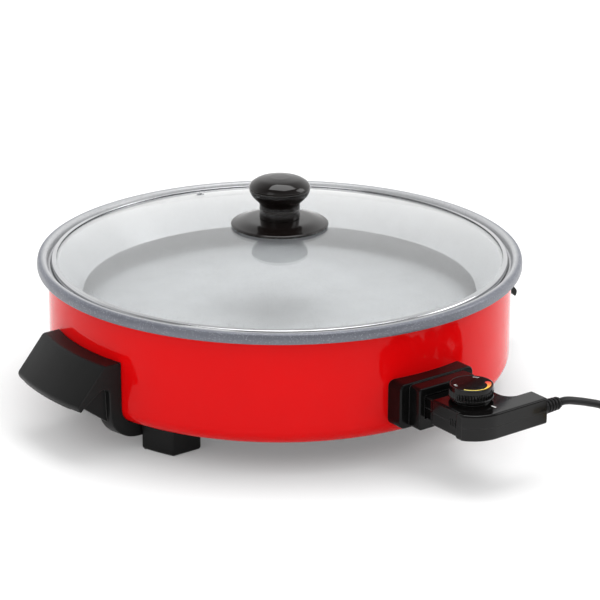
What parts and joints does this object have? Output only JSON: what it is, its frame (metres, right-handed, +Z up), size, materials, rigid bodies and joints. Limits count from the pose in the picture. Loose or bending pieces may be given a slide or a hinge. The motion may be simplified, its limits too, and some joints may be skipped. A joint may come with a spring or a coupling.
{
  "type": "electric skillet",
  "caption": "Round electric skillet: a non-stick pan in an enamelled casing with moulded handles and feet, a lift-off domed glass lid and a plug-in probe control with a dial and cord.",
  "frame": {"origin": "On the table under the feet, at the centre of the footprint of the skillet and its plugged-in control, the free cord left out.", "axes": "+Z is up. The control plugs in from -Y and the two handles stand out along +X and -X. The pan's own axis is parallel to Z at y = 35.65 mm."},
  "size_m": [0.4413, 0.5295, 0.1708],
  "materials": {
    "nonstick_grey": "cast aluminium with a satin speckled non-stick coating",
    "red_enamel": "glossy red enamel",
    "matte_black": "fine-textured phenolic moulding",
    "gloss_black": "smooth polished phenolic moulding",
    "bright_steel": "polished stainless steel",
    "plain_steel": "plain stamped or turned steel",
    "lid_glass": "clear tempered glass",
    "contact_brass": "bright brass",
    "ceramic": "unglazed steatite ceramic",
    "silicone": "grey silicone rubber",
    "dial_print": "black disc printed with a coloured scale and plain numbers",
    "cord_black": "black flexible cord jacket"
  },
  "bodies": {
    "root": {"cooking_pan": "nonstick_grey", "outer_casing": "red_enamel", "base_plate": "plain_steel", "base_screw_1": "plain_steel", "base_screw_2": "plain_steel", "base_screw_3": "plain_steel", "heating_element": "plain_steel", "terminal_pin_left": "plain_steel", "terminal_pin_right": "plain_steel", "terminal_insulator_left": "ceramic", "terminal_insulator_right": "ceramic", "terminal_bracket": "plain_steel", "shroud_screw_left": "plain_steel", "shroud_screw_right": "plain_steel", "sensor_sleeve": "plain_steel", "element_clip_1": "plain_steel", "element_clip_2": "plain_steel", "element_clip_3": "plain_steel", "inlet_shroud": "gloss_black", "handle_right": "matte_black", "handle_left": "matte_black", "handle_screw_1": "plain_steel", "handle_screw_2": "plain_steel", "handle_screw_3": "plain_steel", "handle_screw_4": "plain_steel"},
    "lid": {"lid_glass": "lid_glass", "lid_rim_band": "bright_steel", "steam_vent_eyelet": "bright_steel", "upper_gasket": "silicone", "knob_heat_guard": "gloss_black", "knob_body": "gloss_black", "knob_cap": "gloss_black", "lower_gasket": "silicone", "knob_washer": "plain_steel", "knob_screw": "plain_steel"},
    "control": {"control_housing_upper": "gloss_black", "control_housing_lower": "gloss_black", "housing_screw_1": "plain_steel", "housing_screw_2": "plain_steel", "probe_rod": "bright_steel", "contact_sleeve_left": "contact_brass", "contact_sleeve_right": "contact_brass", "thermostat_frame": "plain_steel", "stack_washer_lower": "ceramic", "bimetal_blade": "contact_brass", "stack_washer_upper": "ceramic", "contact_blade": "contact_brass", "stack_rivet": "plain_steel", "lead_wire_left": "silicone", "lead_wire_right": "silicone", "strain_relief": "cord_black", "power_cord": "cord_black", "cord_coil": "cord_black", "cord_tie": "cord_black", "plug_body": "cord_black", "plug_blade_left": "contact_brass", "plug_blade_right": "contact_brass"},
    "dial": {"dial_knob": "gloss_black", "dial_disc": "dial_print", "dial_shaft": "plain_steel"}
  },
  "joints": [
    {"name": "lid_lift", "type": "slide", "parent": "root", "child": "lid", "axis": [0, 0, 1], "range_m": [0, 0.15]},
    {"name": "control_pull", "type": "slide", "parent": "root", "child": "control", "axis": [0, -1, 0], "range_m": [0, 0.1]},
    {"name": "dial_turn", "type": "hinge", "parent": "control", "child": "dial", "pos_m": [0, -0.19255, 0.0616], "axis": [0, 0, -1], "range_deg": [0, 290]}
  ]
}
